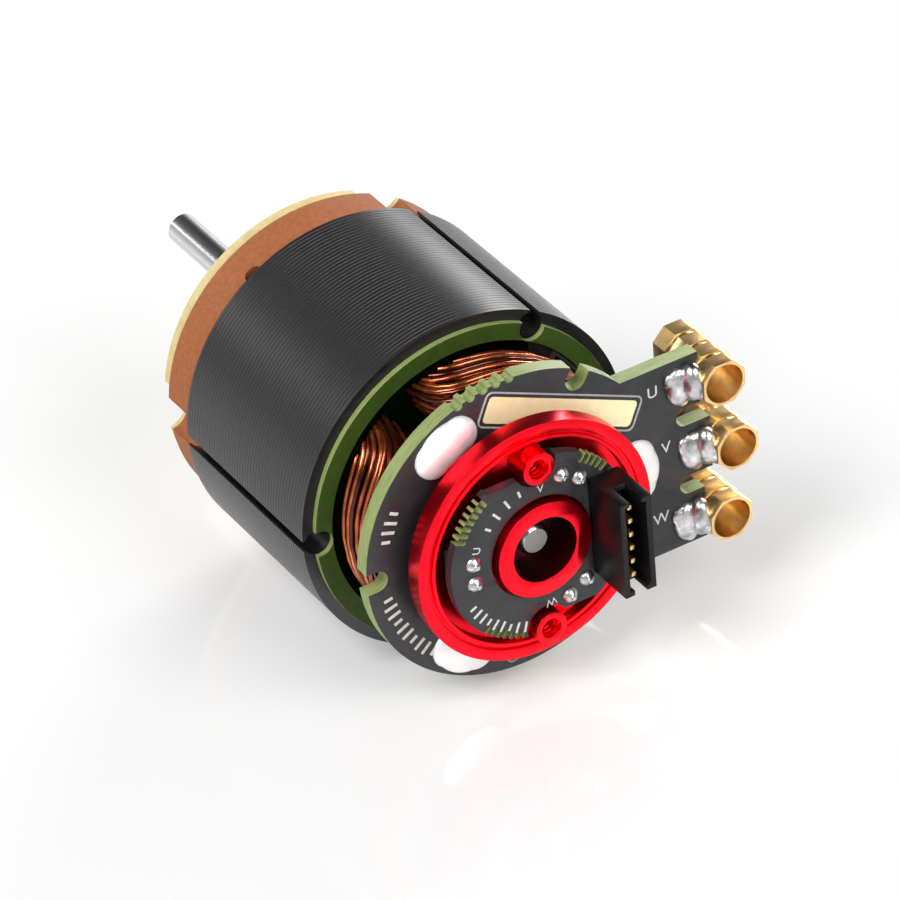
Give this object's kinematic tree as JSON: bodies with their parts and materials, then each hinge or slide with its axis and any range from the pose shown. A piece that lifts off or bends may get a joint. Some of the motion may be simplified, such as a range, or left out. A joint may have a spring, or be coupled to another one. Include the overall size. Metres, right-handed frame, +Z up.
{
  "type": "sensored brushless motor core",
  "caption": "Sensored brushless motor core with no can: wound laminated stator, magnet rotor on a long output shaft, power board with sockets and a red rear bearing carrier with sensor port.",
  "frame": {"origin": "centre of the stator stack on the motor axis", "axes": "+Y along the motor axis towards the output shaft, +X towards the power sockets, +Z up, sensor end at -Y"},
  "size_m": [0.0428, 0.0731, 0.0352],
  "materials": {
    "lamination": "black coated silicon steel laminations, satin",
    "slot_paper": "thin black insulating slot liner, matt",
    "green_laminate": "green glass epoxy laminate, matt",
    "phenolic": "orange brown phenolic, matt",
    "cream_laminate": "cream glass laminate, satin",
    "copper_wire": "enamelled copper wire, glossy",
    "circuit_board": "black solder mask on glass epoxy, satin",
    "solder": "bright tin solder",
    "gold_plate": "gold plated brass, polished",
    "red_anodised": "red anodised aluminium, satin",
    "black_plastic": "black moulded nylon, satin",
    "chip_plastic": "black epoxy package with tinned legs",
    "shaft_steel": "ground steel",
    "bearing_steel": "polished bearing steel",
    "magnet": "nickel plated sintered magnet",
    "wound_sleeve": "resin bonded aramid winding",
    "brass": "turned brass"
  },
  "bodies": {
    "stator": {"stator_core": "lamination", "slot_liners": "slot_paper", "rear_insulator": "green_laminate", "front_frame": "phenolic", "front_plate": "cream_laminate", "coil_u": "copper_wire", "coil_v": "copper_wire", "coil_w": "copper_wire", "power_board": "circuit_board", "phase_leads": "copper_wire", "phase_solder": "solder", "socket_solder": "solder", "socket_u": "gold_plate", "socket_v": "gold_plate", "socket_w": "gold_plate", "front_outer_ring": "bearing_steel", "front_shields": "bearing_steel"},
    "sensor_carrier": {"bearing_carrier": "red_anodised", "sensor_board": "circuit_board", "hall_sensors": "chip_plastic", "sensor_solder": "solder", "connector_housing": "black_plastic", "connector_pins": "gold_plate", "rear_outer_ring": "bearing_steel", "rear_shields": "bearing_steel"},
    "rotor": {"rotor_shaft": "shaft_steel", "rotor_magnet": "magnet", "magnet_sleeve": "wound_sleeve", "balance_ring_rear": "brass", "balance_ring_front": "brass", "rear_spacer": "shaft_steel", "front_spacer": "shaft_steel", "front_inner_ring": "bearing_steel", "rear_inner_ring": "bearing_steel"},
    "front_ball_set": {"front_balls": "bearing_steel", "front_ball_cage": "brass"},
    "rear_ball_set": {"rear_balls": "bearing_steel", "rear_ball_cage": "brass"}
  },
  "joints": [
    {"name": "rotor_spin", "type": "hinge", "parent": "stator", "child": "rotor", "pos_m": [0, 0, 0], "axis": [0, 1, 0], "continuous": true},
    {"name": "timing_adjust", "type": "hinge", "parent": "stator", "child": "sensor_carrier", "pos_m": [0, -0.0212, 0], "axis": [0, 1, 0], "range_deg": [-15, 15]},
    {"name": "front_ball_travel", "type": "hinge", "parent": "stator", "child": "front_ball_set", "pos_m": [0, 0.0136, 0], "axis": [0, 1, 0], "continuous": true},
    {"name": "rear_ball_travel", "type": "hinge", "parent": "sensor_carrier", "child": "rear_ball_set", "pos_m": [0, -0.0186, 0], "axis": [0, 1, 0], "continuous": true}
  ],
  "couplings": [
    {"joint": "front_ball_travel", "follows": "rotor_spin", "ratio": 0.375},
    {"joint": "rear_ball_travel", "follows": "rotor_spin", "ratio": 0.375}
  ]
}
